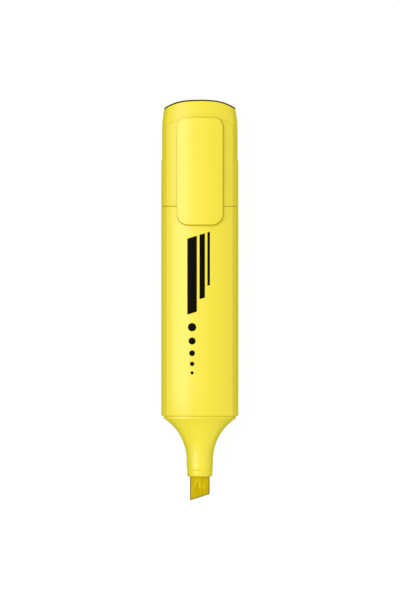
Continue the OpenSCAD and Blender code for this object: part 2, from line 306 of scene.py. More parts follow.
def even_rows(start, end, rows):
    """Evenly spaced places after a start, up to an end."""
    return [start + (end - start) * k / rows for k in range(1, rows + 1)]


def soft_edge(end, inward, inset, r, steps=4):
    """Stations of a rounded rim, from the end face to the wall: place along the pen, and inset."""
    return [(end + inward * r * (1 - math.cos(t)), inset + r * (1 - math.sin(t)))
            for t in quarter_turns(steps)]


def make_piece(name, bm, material, body, node, sharp=SHARP_DEG):
    """Closes the seams of a mesh, smooths it up to its sharp edges, and hangs it on its body."""
    bmesh.ops.remove_doubles(bm, verts=bm.verts, dist=WELD * MM)
    bmesh.ops.dissolve_degenerate(bm, edges=bm.edges, dist=MERGE * MM)
    bmesh.ops.recalc_face_normals(bm, faces=bm.faces)
    mesh = bpy.data.meshes.new(name)
    bm.to_mesh(mesh)
    bm.free()
    mesh.shade_smooth()
    mesh.set_sharp_from_angle(angle=math.radians(sharp))
    mesh.materials.append(material)
    piece = bpy.data.objects.new(name, mesh)
    scene.collection.objects.link(piece)
    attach(piece, body)
    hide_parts(node)


def new_surface(name):
    material = bpy.data.materials.new(name)
    material.use_nodes = True
    return material, material.node_tree, material.node_tree.nodes["Principled BSDF"]


def mix_node(tree, kind, share, first, second, blend="MIX"):
    """A Mix node between two numbers, kind FLOAT, or between two colours, kind RGBA."""
    node = tree.nodes.new("ShaderNodeMix")
    node.data_type = kind
    node.blend_type = blend
    at, out = {"FLOAT": (2, 0), "RGBA": (6, 2)}[kind]
    for value, k in ((share, 0), (first, at), (second, at + 1)):
        feed(tree, value, node.inputs[k])
    return node.outputs[out]


def split_place(tree, kind="Object"):
    """X, Y and Z of a place on the piece, or with Normal of the way that its surface faces."""
    place = tree.nodes.new("ShaderNodeTexCoord")
    split = tree.nodes.new("ShaderNodeSeparateXYZ")
    feed(tree, place.outputs[kind], split.inputs[0])
    return list(split.outputs)


def stretched_noise(tree, waves, detail):
    """Noise with a number of waves a millimetre along each of X, Y and Z."""
    place = tree.nodes.new("ShaderNodeTexCoord")
    stretch = tree.nodes.new("ShaderNodeMapping")
    stretch.inputs["Scale"].default_value = [w / MM for w in waves]
    feed(tree, place.outputs["Object"], stretch.inputs["Vector"])
    noise = tree.nodes.new("ShaderNodeTexNoise")
    noise.inputs["Scale"].default_value = 1.0
    noise.inputs["Detail"].default_value = detail
    feed(tree, stretch.outputs[0], noise.inputs["Vector"])
    return noise.outputs[0]


def roughen(tree, shader, height, strength, deep):
    """Gives a surface a fine bump, its depth in millimetres."""
    bump = tree.nodes.new("ShaderNodeBump")
    bump.inputs["Strength"].default_value = strength
    bump.inputs["Distance"].default_value = deep * MM
    feed(tree, height, bump.inputs["Height"])
    feed(tree, bump.outputs[0], shader.inputs["Normal"])


NEON = (0.94, 0.80, 0.004)
NEON_DEEP = (0.91, 0.765, 0.003)
# Painted shade: the narrow sides are coloured darker than the broad faces.
NEON_SIDE_SHADE = (0.83, 0.76, 0.003)
# Painted shade for the crease lines and the clip's edge walls.
NEON_EDGE_SHADE = (0.76, 0.58, 0.003)
LINE_X = 10.5
LINE_FADE = 0.38
LINE_END = 54.6
FACE_SHINE = 0.82
SIDE_SHINE = 0.04
POLISHED_FROM, POLISHED_TO = 0.47, 0.77
FLOW_WAVES = (0.25, 0.05, 0.25)
SCUFF_WAVES = (0.6, 2.2, 0.6)
SCUFF_FROM, SCUFF_TO = 0.3, 0.8
SCUFF_ROUGH = (0.28, 0.34)
SPARK_WAVES = (6.0, 6.0, 6.0)
SPARK_STRENGTH = 0.04
SPARK_DEEP = 0.02


def moulded_yellow(name, side=NEON_SIDE_SHADE, line=NEON_EDGE_SHADE):
    """Moulded plastic with flow marks, scuffs and a fine spark texture. Its broad faces are
    polished and its narrow sides matt and painted darker as shade, and painted shade darkens the
    line where they meet."""
    material, tree, shader = new_surface(name)
    flow = stretched_noise(tree, FLOW_WAVES, detail=2.0)
    tint = mix_node(tree, "RGBA", flow, NEON_DEEP, NEON)
    scuffs = stretched_noise(tree, SCUFF_WAVES, detail=5.0)
    scuffed = range_node(tree, scuffs, SCUFF_FROM, SCUFF_TO, *SCUFF_ROUGH)
    feed(tree, scuffed, shader.inputs["Roughness"])
    spark = stretched_noise(tree, SPARK_WAVES, detail=2.0)
    roughen(tree, shader, spark, SPARK_STRENGTH, SPARK_DEEP)
    upright = sum_node(tree, "ABSOLUTE", split_place(tree, "Normal")[2])
    polish_and_shade = range_node(tree, upright, POLISHED_FROM, POLISHED_TO, 0.0, 1.0)
    shine = sum_node(tree, "MULTIPLY_ADD", polish_and_shade, FACE_SHINE - SIDE_SHINE, SIDE_SHINE)
    shader.inputs["Specular IOR Level"].default_value = FACE_SHINE
    feed(tree, shine, shader.inputs["Specular IOR Level"])
    # Painted shade: the colour darkens as the surface turns away from the front; the same mask sets
    # the shine.
    tone = mix_node(tree, "RGBA", polish_and_shade, side, tint)
    x, y, _ = split_place(tree)
    off_line = sum_node(tree, "SUBTRACT", sum_node(tree, "ABSOLUTE", x), LINE_X * MM)
    apart = sum_node(tree, "ABSOLUTE", off_line)
    near = range_node(tree, apart, 0.0, LINE_FADE * MM, 1.0, 0.0)
    below_crown = sum_node(tree, "LESS_THAN", y, LINE_END * MM)
    # Painted shade: a darker band along the crease line below the crown.
    crease_shaded = mix_node(tree, "RGBA", sum_node(tree, "MULTIPLY", near, below_crown), tone, line)
    feed(tree, crease_shaded, shader.inputs["Base Color"])
    return material


PRINT_X = -2.4
PRINT_LEAN = 0.31
PRINT_BARS = [(PRINT_X, 8.6, 3.0, 23.6), (0.75, 10.4, 1.7, 20.0), (2.75, 12.1, 0.8, 16.6)]
PRINT_DOTS = [(-8.3, 1.3), (-12.6, 1.1), (-16.4, 0.9), (-19.7, 0.7), (-22.5, 0.5)]
PRINT_AND_SHADE_BLACK = (0.0045, 0.004, 0.001)
PRINT_AND_SHADE_SHINE = 0.02
SEAM_SHADE = 0.58
SEAM_SHARE = 0.45


def printed_bar(tree, place, x, y, wide, tall):
    """Mask of one printed bar with leaning ends; place holds X, Y and Z."""
    off_x = sum_node(tree, "ABSOLUTE", sum_node(tree, "SUBTRACT", place[0], x * MM))
    in_x = sum_node(tree, "LESS_THAN", off_x, wide / 2 * MM)
    leant = sum_node(tree, "MULTIPLY_ADD", place[0], -PRINT_LEAN, place[1])
    off_y = sum_node(tree, "ABSOLUTE", sum_node(tree, "SUBTRACT", leant, y * MM))
    return sum_node(tree, "MULTIPLY", in_x, sum_node(tree, "LESS_THAN", off_y, tall / 2 * MM))


def printed_dot(tree, place, x, y, r):
    """Mask of one printed dot; place holds X, Y and Z."""
    far_x = sum_node(tree, "POWER", sum_node(tree, "SUBTRACT", place[0], x * MM), 2.0)
    off_y = sum_node(tree, "SUBTRACT", place[1], y * MM)
    far = sum_node(tree, "MULTIPLY_ADD", off_y, off_y, far_x)
    return sum_node(tree, "LESS_THAN", far, (r * MM) ** 2)


barrel_plastic = moulded_yellow("printed_yellow_plastic")
barrel_tree = barrel_plastic.node_tree
xyz = split_place(barrel_tree)
masks = [printed_bar(barrel_tree, xyz, *bar) for bar in PRINT_BARS]
masks += [printed_dot(barrel_tree, xyz, PRINT_X, *dot) for dot in PRINT_DOTS]
print_and_seam_shade = masks[0]
for mask in masks[1:]:
    print_and_seam_shade = sum_node(barrel_tree, "MAXIMUM", print_and_seam_shade, mask)
on_front = sum_node(barrel_tree, "GREATER_THAN", xyz[2], AXIS_Z * MM)
print_and_seam_shade = sum_node(barrel_tree, "MULTIPLY", print_and_seam_shade, on_front)
# Painted shade: the rear seam gap is darkened with the print's black colour and low shine.
seam_y = (BARREL_REAR + STOP_END) / 2
seam_half = (STOP_END - BARREL_REAR) * SEAM_SHARE
in_seam = sum_node(barrel_tree, "COMPARE", xyz[1], seam_y * MM, seam_half * MM)
seam_shaded = sum_node(barrel_tree, "MULTIPLY", in_seam, SEAM_SHADE)
print_and_seam_shade = sum_node(barrel_tree, "MAXIMUM", print_and_seam_shade, seam_shaded)
for finish, kind, ink in (("Base Color", "RGBA", PRINT_AND_SHADE_BLACK),
                          ("Specular IOR Level", "FLOAT", PRINT_AND_SHADE_SHINE)):
    socket = barrel_tree.nodes["Principled BSDF"].inputs[finish]
    bare = socket.links[0].from_socket
    feed(barrel_tree, mix_node(barrel_tree, kind, print_and_seam_shade, bare, ink), socket)

front_rim = soft_edge(BARREL_FRONT, 1, 0.0, BARREL_RIM)
rear_rim = soft_edge(BARREL_REAR, -1, 0.0, SEAM_RIM)[::-1]
tube = [(y, 0.0) for y in even_rows(front_rim[-1][0], rear_rim[0][0], TUBE_ROWS)[:-1]]
outside = [(y, inset, WITNESS_DEEP) for y, inset in front_rim + tube + rear_rim]
stop = [(BARREL_REAR, STOP_IN), (STOP_END, STOP_IN)]
stop += [(STOP_END, SPIGOT_IN), (BARREL_REAR, SPIGOT_IN)]
bore = [(BARREL_REAR, BARREL_WALL), (BARREL_FRONT, BARREL_WALL)]
barrel_rings = rings_of(on_oval, outside + stop + bore)
barrel_bm = bmesh.new()
grow(barrel_bm, barrel_rings + barrel_rings[:1])
make_piece("barrel_tube", barrel_bm, barrel_plastic, "barrel", "barrel")


# Ink core: a bundle of polyester fibre soaked with yellow ink, wrapped in clear film and pushed
# into the barrel. Both stay hidden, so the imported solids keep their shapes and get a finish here.
STRAND_WAVES = (4.0, 0.1, 4.0)
STRAND_STRENGTH = 0.5
STRAND_DEEP = 0.1
CORE_DARK = (0.62, 0.46, 0.01)
CORE_PALE = (0.86, 0.70, 0.05)
CORE_ROUGH = 0.85
core_soak, core_tree, core_shader = new_surface("inked_fibre_core")
strand = stretched_noise(core_tree, STRAND_WAVES, detail=4.0)
soak = mix_node(core_tree, "RGBA", strand, CORE_DARK, CORE_PALE)
feed(core_tree, soak, core_shader.inputs["Base Color"])
core_shader.inputs["Roughness"].default_value = CORE_ROUGH
roughen(core_tree, core_shader, strand, STRAND_STRENGTH, STRAND_DEEP)


def clouded(name, waves, dark, pale, rough):
    """A surface whose colour and roughness drift together."""
    material, tree, shader = new_surface(name)
    cloud = stretched_noise(tree, waves, detail=3.0)
    feed(tree, mix_node(tree, "RGBA", cloud, dark, pale), shader.inputs["Base Color"])
    feed(tree, range_node(tree, cloud, 0.0, 1.0, *rough), shader.inputs["Roughness"])
    return material, shader


CRINKLE_WAVES = (0.3, 0.08, 0.3)
FILM_DARK = (0.72, 0.66, 0.28)
FILM_PALE = (0.84, 0.80, 0.48)
FILM_ROUGH = (0.12, 0.3)
film_wrap, _ = clouded("wrapped_film", CRINKLE_WAVES, FILM_DARK, FILM_PALE, FILM_ROUGH)

for node, finish in (("reservoir_fibre", core_soak), ("reservoir_film", film_wrap)):
    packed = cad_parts[node]
    packed.data.materials.clear()
    packed.data.materials.append(finish)


# Nose: the flared front, moulded from the same yellow plastic and pressed into the barrel. It runs
# from the oval lip that centres the cap to a round neck with a low sealing bead, a fine turned line
# and a rounded mouth.
LIP_IN = 0.75
LIP_FRONT = -36.7
LIP_EDGE = 0.12
SKIRT_IN = 1.44
SKIRT_WALL = 1.0
SKIRT_LEN = 7.0
FLARE_R = 15.5
FLARE_STEPS = 28
NECK_R = 3.9
NECK_DRAFT = 0.2
MOUTH = -54.9
MOUTH_ROUND = 0.7
MOUTH_STEPS = 6
BEAD_AT = -52.3
BEAD_R = 1.1
BEAD_H = 0.08
BEAD_STEPS = 8
TURNED_AT = -52.86
TURNED_HALF = 0.11
TURNED_DEEP = 0.09
NIB_HALF_W = 3.05
NIB_HALF_T = 2.2
NIB_FACE_R = 4.0
NIB_PLAY = 0.04
HOLE_LEAD = 0.08
BREATHER_R = 0.45

foot_r = NECK_R + NECK_DRAFT
flare_rise = HALF_W - LIP_IN - foot_r
flare_turn = math.acos(1 - flare_rise / FLARE_R)
flare_from = LIP_FRONT - FLARE_R * math.sin(flare_turn)


def on_neck(i, y, r):
    return in_pen(r * FACING[i], y)


def on_flare(i, turn):
    """A point between the round neck and the oval lip, which share the way they face."""
    share = FLARE_R * (1 - math.cos(turn)) / flare_rise
    y = flare_from + FLARE_R * math.sin(turn)
    return on_oval(i, y, LIP_IN).lerp(on_neck(i, y, foot_r), 1 - share)


def in_hole(i, y, play):
    """A point of the nib's hole, with the breather notch at its back."""
    way = FACING[i]
    cheek = NIB_FACE_R - NIB_HALF_T
    reach = math.sqrt((NIB_FACE_R + play) ** 2 - (cheek * way.x) ** 2) - cheek * abs(way.y)
    if abs(way.x) > NEAR:
        reach = min(reach, (NIB_HALF_W + play) / abs(way.x))
    aside = NIB_HALF_T * abs(way.x)
    if way.y < 0 and aside < BREATHER_R:
        reach = max(reach, -NIB_HALF_T * way.y + math.sqrt(BREATHER_R ** 2 - aside ** 2))
    return in_pen(way * reach, y)


def neck_at(y):
    """Radius of the neck, which widens a little from its mouth to the foot of the flare."""
    return NECK_R + NECK_DRAFT * (y - MOUTH - MOUTH_ROUND) / (flare_from - MOUTH - MOUTH_ROUND)


lip = [(BARREL_FRONT, SKIRT_IN)] + soft_edge(BARREL_FRONT, -1, LIP_IN, LIP_EDGE, 2)
flare = [(flare_turn * (1 - k / FLARE_STEPS),) for k in range(FLARE_STEPS + 1)]
bead_half = math.sqrt(BEAD_R ** 2 - (BEAD_R - BEAD_H) ** 2)
bead_top = neck_at(BEAD_AT) + BEAD_H
neck = []
for k in range(BEAD_STEPS + 1):
    off = bead_half * (1 - 2 * k / BEAD_STEPS)
    bead_r = bead_top - BEAD_R + math.sqrt(BEAD_R ** 2 - off ** 2)
    neck.append((BEAD_AT + off, max(neck_at(BEAD_AT + off), bead_r)))
for off, deep in ((TURNED_HALF, 0.0), (0.0, TURNED_DEEP), (-TURNED_HALF, 0.0)):
    neck.append((TURNED_AT + off, neck_at(TURNED_AT) - deep))
for y, inset in soft_edge(MOUTH, 1, 0.0, MOUTH_ROUND, MOUTH_STEPS)[::-1]:
    neck.append((y, NECK_R - inset))
hole = [(MOUTH, NIB_PLAY + HOLE_LEAD), (MOUTH + HOLE_LEAD, NIB_PLAY),
        (LIP_FRONT - LIP_EDGE, NIB_PLAY)]
skirt_bore = SKIRT_IN + SKIRT_WALL
skirt_end = BARREL_FRONT + SKIRT_LEN
skirt = [(LIP_FRONT, skirt_bore), (skirt_end, skirt_bore),
         (skirt_end, SKIRT_IN), (BARREL_FRONT, SKIRT_IN)]
nose_rings = rings_of(on_oval, lip) + rings_of(on_flare, flare) + rings_of(on_neck, neck)
nose_rings += rings_of(in_hole, hole) + rings_of(on_oval, skirt)
nose_bm = bmesh.new()
grow(nose_bm, nose_rings)
# Painted shade: the nose's crease band takes the darker flow tone.
nose_plastic = moulded_yellow("nose_yellow_plastic", line=NEON_DEEP)
make_piece("nose_cone", nose_bm, nose_plastic, "barrel", "front_section")


# Nib: a bar of bonded fibre, cut to a slanted chisel and pushed through the nose into the ink core.
# Ink has turned it amber and its fibres run along the bar; its colour is darker towards its edges.
# A painted highlight runs along the edge of each chisel facet.
NIB_TIP = -62.4
NIB_REAR = -28.4
NIB_SPARE = 1.0
NIB_STEPS = 14
CUT_TIP = -62.22
NIB_SLANT = 1.98
NIB_EDGE = 1.7
FACET_LEN = 6.2
NIB_SOFT = 0.14
NIB_SHARP_DEG = 24
CUT_EDGE_DEG = 11

nib_spots = spin_outline(NIB_HALF_T, [
    (0, NIB_HALF_T - NIB_FACE_R, math.asin(NIB_HALF_W / NIB_FACE_R), NIB_STEPS),
])
nib_bm = bmesh.new()
nib_ends = (NIB_TIP - NIB_SPARE, NIB_REAR)
grow_closed(nib_bm, [[in_pen(spot, y) for spot in nib_spots] for y in nib_ends])


def slice_off(bm, place, facing):
    """Cuts away what lies beyond a plane and closes the cut."""
    everything = bm.verts[:] + bm.edges[:] + bm.faces[:]
    cut = bmesh.ops.bisect_plane(bm, geom=everything, dist=MERGE * MM, plane_co=Vector(place) * MM,
                                 plane_no=facing, clear_outer=True)
    rim = [g for g in cut["geom_cut"] if isinstance(g, bmesh.types.BMEdge)]
    bmesh.ops.edgeloop_fill(bm, edges=rim)


facet_drop = NIB_HALF_T - NIB_EDGE / 2
slice_off(nib_bm, (-NIB_HALF_W, CUT_TIP, AXIS_Z), (NIB_SLANT, -2 * NIB_HALF_W, 0))
for up in (1, -1):
    face_z = AXIS_Z + up * NIB_HALF_T
    slice_off(nib_bm, (0, NIB_TIP + FACET_LEN, face_z), (0, -facet_drop, up * FACET_LEN))
    slice_off(nib_bm, (0, NIB_REAR - FACET_LEN, face_z), (0, facet_drop, up * FACET_LEN))
bmesh.ops.recalc_face_normals(nib_bm, faces=nib_bm.faces)
cut_edges = [e for e in nib_bm.edges
             if e.is_manifold and e.calc_face_angle() > math.radians(CUT_EDGE_DEG)]
bmesh.ops.bevel(nib_bm, geom=cut_edges, offset=NIB_SOFT * MM, offset_type="OFFSET", affect="EDGES",
                segments=3, profile=0.5, material=-1, clamp_overlap=True)

RIB_AT = -0.32
RIB_HALF = 0.15
RIB_RISE = 0.45
STEP_AT = -58.35
FRAY = 1.6
FACET_AMBER = (0.63, 0.45, 0.0)
RIDGE_HIGHLIGHT = (0.84, 0.66, 0.012)
CHEEK_AMBER = (0.71, 0.52, 0.003)
# The bright ridge tone is a painted highlight just past the edge of each chisel facet.
AMBER_HIGHLIGHT_RAMP = [(0.03, FACET_AMBER), (0.07, RIDGE_HIGHLIGHT), (0.27, RIDGE_HIGHLIGHT), (0.75, CHEEK_AMBER)]
RAMP_DEEP = 0.4
EDGE_DARK_AMBER = (0.30, 0.20, 0.003)
EDGE_DARK_TO, EDGE_CLEAR_FROM = 0.18, 0.45
FIBRE_WAVES = (3.2, 0.06, 3.2)
FIBRE_FROM, FIBRE_TO = 0.3, 0.7
FIBRE_TONE = (0.8, 1.12)
FUZZ_WAVES = (9.0, 0.9, 9.0)
FUZZ_STRENGTH = 0.35
FUZZ_DEEP = 0.06
NIB_ROUGH = 0.78
NIB_SHINE = 0.08
nib_felt, nib_tree, nib_shader = new_surface("amber_felt")
nib_x, nib_y, nib_z = split_place(nib_tree)
fibres = stretched_noise(nib_tree, FIBRE_WAVES, detail=3.0)

# On the left of the rib the tone follows the depth below the facet, on the right the worn step.
half_z = sum_node(nib_tree, "ABSOLUTE", sum_node(nib_tree, "SUBTRACT", nib_z, AXIS_Z * MM))
facet_fall = facet_drop / FACET_LEN
facet_foot = (NIB_EDGE / 2 - NIB_TIP * facet_fall) * MM
facet_z = sum_node(nib_tree, "MULTIPLY_ADD", nib_y, facet_fall, facet_foot)
left_cheek = sum_node(nib_tree, "SUBTRACT", facet_z, half_z)
past_rib = sum_node(nib_tree, "SUBTRACT", nib_x, RIB_AT * MM)
frayed = sum_node(nib_tree, "MULTIPLY_ADD", fibres, FRAY * MM, nib_y)
past_step = sum_node(nib_tree, "GREATER_THAN", frayed, (STEP_AT + FRAY / 2) * MM)
worn = sum_node(nib_tree, "MULTIPLY", past_rib, RIB_RISE)
right_cheek = sum_node(nib_tree, "MULTIPLY", worn, past_step)
on_right = sum_node(nib_tree, "GREATER_THAN", nib_x, (RIB_AT - RIB_HALF) * MM)
cheeks = mix_node(nib_tree, "FLOAT", on_right, left_cheek, right_cheek)

amber = nib_tree.nodes.new("ShaderNodeValToRGB")
shades = amber.color_ramp.elements
shades[0].position, shades[1].position = AMBER_HIGHLIGHT_RAMP[0][0], AMBER_HIGHLIGHT_RAMP[-1][0]
for position, _ in AMBER_HIGHLIGHT_RAMP[1:-1]:
    shades.new(position)
for shade, (_, colour) in zip(shades, AMBER_HIGHLIGHT_RAMP):
    shade.color = (*colour, 1.0)
feed(nib_tree, range_node(nib_tree, cheeks, 0.0, RAMP_DEEP * MM, 0.0, 1.0), amber.inputs["Fac"])
strands = range_node(nib_tree, fibres, FIBRE_FROM, FIBRE_TO, *FIBRE_TONE)
streaked = mix_node(nib_tree, "RGBA", 1.0, amber.outputs[0], strands, blend="MULTIPLY")

# The colour darkens towards the nib's sides and its slanted end.
abs_x = sum_node(nib_tree, "ABSOLUTE", nib_x)
to_side = sum_node(nib_tree, "SUBTRACT", NIB_HALF_W * MM, abs_x)
cut_slope = NIB_SLANT / (2 * NIB_HALF_W)
cut_y = sum_node(nib_tree, "MULTIPLY_ADD", nib_x, cut_slope, (CUT_TIP + NIB_SLANT / 2) * MM)
to_edge = sum_node(nib_tree, "MINIMUM", to_side, sum_node(nib_tree, "SUBTRACT", nib_y, cut_y))
off_edge = range_node(nib_tree, to_edge, EDGE_DARK_TO * MM, EDGE_CLEAR_FROM * MM, 0.0, 1.0)
edge_darkened = mix_node(nib_tree, "RGBA", off_edge, EDGE_DARK_AMBER, streaked)
feed(nib_tree, edge_darkened, nib_shader.inputs["Base Color"])
nib_shader.inputs["Roughness"].default_value = NIB_ROUGH
nib_shader.inputs["Specular IOR Level"].default_value = NIB_SHINE
fuzz = stretched_noise(nib_tree, FUZZ_WAVES, detail=3.0)
roughen(nib_tree, nib_shader, fuzz, FUZZ_STRENGTH, FUZZ_DEEP)
make_piece("felt_nib", nib_bm, nib_felt, "barrel", "nib", NIB_SHARP_DEG)


# Tail plug: a moulded yellow cup that closes the barrel. Its skirt is pressed into the tail, and
# its spigot, with an air groove down each side, carries the cap when the pen is in use.
SPIGOT_END = 41.3
SPIGOT_WALL = 1.2
SPIGOT_ROUND = 0.5
GROOVE_HALF = 0.8
GROOVE_DEEP = 0.4


def on_spigot(i, y, inset):
    """A point of the spigot, drawn in further along its air grooves."""
    place = on_oval(i, y, inset)
    if abs(OVAL[i].y) < GROOVE_HALF:
        place.x -= math.copysign(GROOVE_DEEP * MM, place.x)
    return place


spigot = soft_edge(SPIGOT_END, -1, LIP_IN, SPIGOT_ROUND) + [(BARREL_REAR, LIP_IN)]
plug_end = BARREL_REAR - SKIRT_LEN
plug_skirt = [(BARREL_REAR, SKIRT_IN), (plug_end, SKIRT_IN), (plug_end, skirt_bore),
              (SPIGOT_END - SPIGOT_WALL, skirt_bore)]
plug_bm = bmesh.new()
grow_closed(plug_bm, rings_of(on_spigot, spigot) + rings_of(on_oval, plug_skirt))
plug_plastic = moulded_yellow("tail_yellow_plastic")
make_piece("tail_spigot", plug_bm, plug_plastic, "barrel", "tail_plug")


# Cap: the outer shell, moulded from the same yellow plastic, with shallow grips on its narrow
# sides. Its walls end in an arched edge; a small step inside that edge the crown tapers to the
# arched end. A groove in its front takes the clip's bead.
CAP_MOUTH = 29.35
CAP_END = 62.4
CAP_WALL = 0.65
CAP_DEEP_WALL = 1.5
CAP_STEP = 53.3
STEP_RUN = 0.6
MOUTH_LEAD = 0.15
CAP_DRAFT = 0.15
SIDE_IN = 0.22
GRIP_AT = 43.6
GRIP_RUN = 1.1
GRIP_LIP = 0.05
GRIP_EASE = 0.6
GRIP_ROWS = (-0.8, -0.5, -0.25, -0.1, 0.0, 0.07)
WALL_ROWS = 5
ARCH_FROM = GRIP_AT + 1.0
CROWN_STEP = 0.15
CROWN_DRAFT = 1.35
CROWN_ROWS = 13
TAPER_FROM = 55.6
LEDGE = 57.0
LEDGE_R = 24.0
LEDGE_EDGE = 0.08
LEDGE_LINE = 0.08
TOP_R = 48.0
DOME_R = 16.0
DOME_HALF = 2.6
END_EDGE = 0.16
LID_T = 0.38
PLUG_IN = 2.4
PLUG_PLAY = 0.04
PLUG_BOTTOM = 58.8
SOCKET_FRONT = 54.35
SOCKET_REAR = 55.68
SOCKET_HALF = 2.79
SOCKET_DEEP = 0.95

slim_reach = HALF_W - SIDE_IN
slim_c = (slim_reach ** 2 - crease_x ** 2 - crease_z ** 2) / (2 * (slim_reach - crease_x))
shell_end = CAP_END - LID_T


def wall_draw(y):
    """How far the cap's walls stand in from the body's outline."""
    return CAP_DRAFT * ((y - CAP_MOUTH) / (LEDGE - CAP_MOUTH)) ** 2


def past_grip(x, z, y):
    """How far a point of a narrow side stands outside the slimmer cap above the grips."""
    rise = min(1.0, max(0.0, (y - GRIP_AT + GRIP_RUN) / GRIP_RUN))
    share = 1.0 if y > GRIP_AT + GRIP_LIP else GRIP_EASE * (1 - math.sqrt(1 - rise ** 2))
    slim_x = abs(x)
    if abs(z) < crease_z:
        slim_x = slim_c + math.sqrt((slim_reach - slim_c) ** 2 - z ** 2)
    return share * max(0.0, abs(x) - slim_x)


def crown_draw(y):
    """How far the crown stands in from the body's outline."""
    taper = max(0.0, (y - TAPER_FROM) / (CAP_END - TAPER_FROM))
    return CAP_DRAFT + CROWN_STEP + (CROWN_DRAFT - CAP_DRAFT - CROWN_STEP) * taper


def sag(x, r):
    return r - math.sqrt(r ** 2 - x ** 2)


def dome_bow(x, drop):
    """Fall of the arched end off its middle: a flat arc between two round shoulders."""
    middle = sag(x, TOP_R - drop)
    if abs(x) < DOME_HALF:
        return middle
    return max(middle, sag(DOME_HALF, TOP_R) + sag(abs(x) - DOME_HALF, DOME_R - drop))


def on_cap(i, y, draw, arch=0.0, dome=0.0, drop=LID_T, inset=0.0, groove=0.0):
    """A point of the cap's skin, on a ring that falls off with shares of the walls' arch and the
    dome. A few rounds settle how far in the point lies where the ring has fallen to."""
    spot, way = OVAL[i], FACING[i]
    x, at, depth = spot.x, y, 0.0
    for _ in range(4):
        at = y - arch * sag(x, LEDGE_R) - dome * dome_bow(x, drop)
        depth = draw(at) + inset + (groove if i in CREASED else 0.0)
        x = spot.x - depth * way.x
    x -= math.copysign(past_grip(x, spot.y, at), x)
    return in_pen(Vector((x, spot.y - depth * way.y)), at)


def cap_ring(y, draw, **shape):
    return [on_cap(i, y, draw, **shape) for i in ROUND]


def under_lid(i, inset):
    """A point of the arched face on which the inner cap's lid sits."""
    place = on_oval(i, shell_end, inset)
    place.y -= dome_bow(place.x / MM, LID_T) * MM
    return place


cap_rings = []
for y, inset in soft_edge(CAP_MOUTH, 1, 0.0, SEAM_RIM):
    cap_rings.append(cap_ring(y, wall_draw, inset=inset, groove=WITNESS_DEEP))
wall_rows = even_rows(CAP_MOUTH + SEAM_RIM, GRIP_AT - GRIP_RUN, WALL_ROWS)
wall_rows += [GRIP_AT + off for off in GRIP_ROWS]
wall_rows += even_rows(GRIP_AT, SOCKET_FRONT, WALL_ROWS) + [SOCKET_REAR]
for y in wall_rows:
    arched = max(0.0, (y - ARCH_FROM) / (LEDGE - ARCH_FROM))
    cap_rings.append(cap_ring(y, wall_draw, arch=arched, groove=WITNESS_DEEP))
socket_row = len(cap_rings) - 1
for y, inset in soft_edge(LEDGE, -1, 0.0, LEDGE_EDGE, 3)[::-1]:
    cap_rings.append(cap_ring(y, wall_draw, arch=1.0, inset=inset, groove=WITNESS_DEEP))
for y in (LEDGE, LEDGE + LEDGE_LINE):
    cap_rings.append(cap_ring(y, crown_draw, arch=1.0, inset=LEDGE_LINE))
crown_from = LEDGE + 2 * LEDGE_LINE
for k in range(CROWN_ROWS):
    t = k / CROWN_ROWS
    y = crown_from + (shell_end - END_EDGE - crown_from) * t
    cap_rings.append(cap_ring(y, crown_draw, arch=1 - t, dome=t))
for y, inset in soft_edge(shell_end, -1, 0.0, END_EDGE, 3)[::-1]:
    cap_rings.append(cap_ring(y, crown_draw, dome=1.0, inset=inset))
plug_hole = PLUG_IN - PLUG_PLAY
cap_rings += rings_of(under_lid, [(plug_hole,)])
cap_rings += rings_of(on_oval, [
    (PLUG_BOTTOM, plug_hole), (PLUG_BOTTOM, CAP_DEEP_WALL), (CAP_STEP, CAP_DEEP_WALL),
    (CAP_STEP - STEP_RUN, CAP_WALL), (CAP_MOUTH + MOUTH_LEAD, CAP_WALL),
    (CAP_MOUTH, CAP_WALL - MOUTH_LEAD),
])
cap_rings.append(cap_rings[0])
cap_bm = bmesh.new()
ring = first_ring(cap_bm, cap_rings[0])
socket_faces = []
for n, places in enumerate(cap_rings[1:], 1):
    below, ring = ring, next_ring(cap_bm, ring, places)
    if n != socket_row:
        continue
    for i in ROUND:
        middle = (OVAL[i - 1] + OVAL[i]) / 2
        if middle.y > 0 and abs(middle.x) < SOCKET_HALF:
            corners = {below[i - 1], below[i], ring[i - 1], ring[i]}
            socket_faces += [f for f in ring[i].link_faces if set(f.verts) == corners]
pocket = bmesh.ops.extrude_face_region(cap_bm, geom=socket_faces)["geom"]
floor_verts = [g for g in pocket if isinstance(g, bmesh.types.BMVert)]
bmesh.ops.translate(cap_bm, vec=(0, 0, -SOCKET_DEEP * MM), verts=floor_verts)
bmesh.ops.delete(cap_bm, geom=socket_faces, context="FACES")
cap_plastic = moulded_yellow("cap_yellow_plastic")
make_piece("cap_cover", cap_bm, cap_plastic, "cap", "cap_shell")


# Inner cap: a satin moulding pressed into the cap's end, coloured near black as painted shade on
# the arched end. Its lid closes the arched end, its plug holds it in the shell, and its round
# sleeve seals on the nose when the pen is closed.
SLEEVE_END = 44.3
SLEEVE_R = 4.1
SLEEVE_WALL = 0.9
SLEEVE_LEAD = 0.1
LID_EDGE = 0.1
LID_SHARES = (0.04, 0.3, 0.6, 0.85, 0.96, 1.0)
CLOUD_WAVES = (0.4, 0.4, 0.4)
# Near-black colour: painted shade on the lid at the arched end.
SEAL_SHADE_DARK = (0.022, 0.017, 0.0)
SEAL_SHADE_PALE = (0.045, 0.036, 0.0005)
SEAL_ROUGH = (0.42, 0.56)
SEAL_SHINE = 0.005


def on_lid(i, share):
    """A point of the lid's arched top, drawn in towards its middle."""
    rim = on_cap(i, CAP_END, crown_draw, dome=1.0, drop=0.0, inset=LID_EDGE)
    x = rim.x * share
    y = (CAP_END - dome_bow(x / MM, 0.0)) * MM
    return Vector((x, y, AXIS_Z * MM + (rim.z - AXIS_Z * MM) * share))


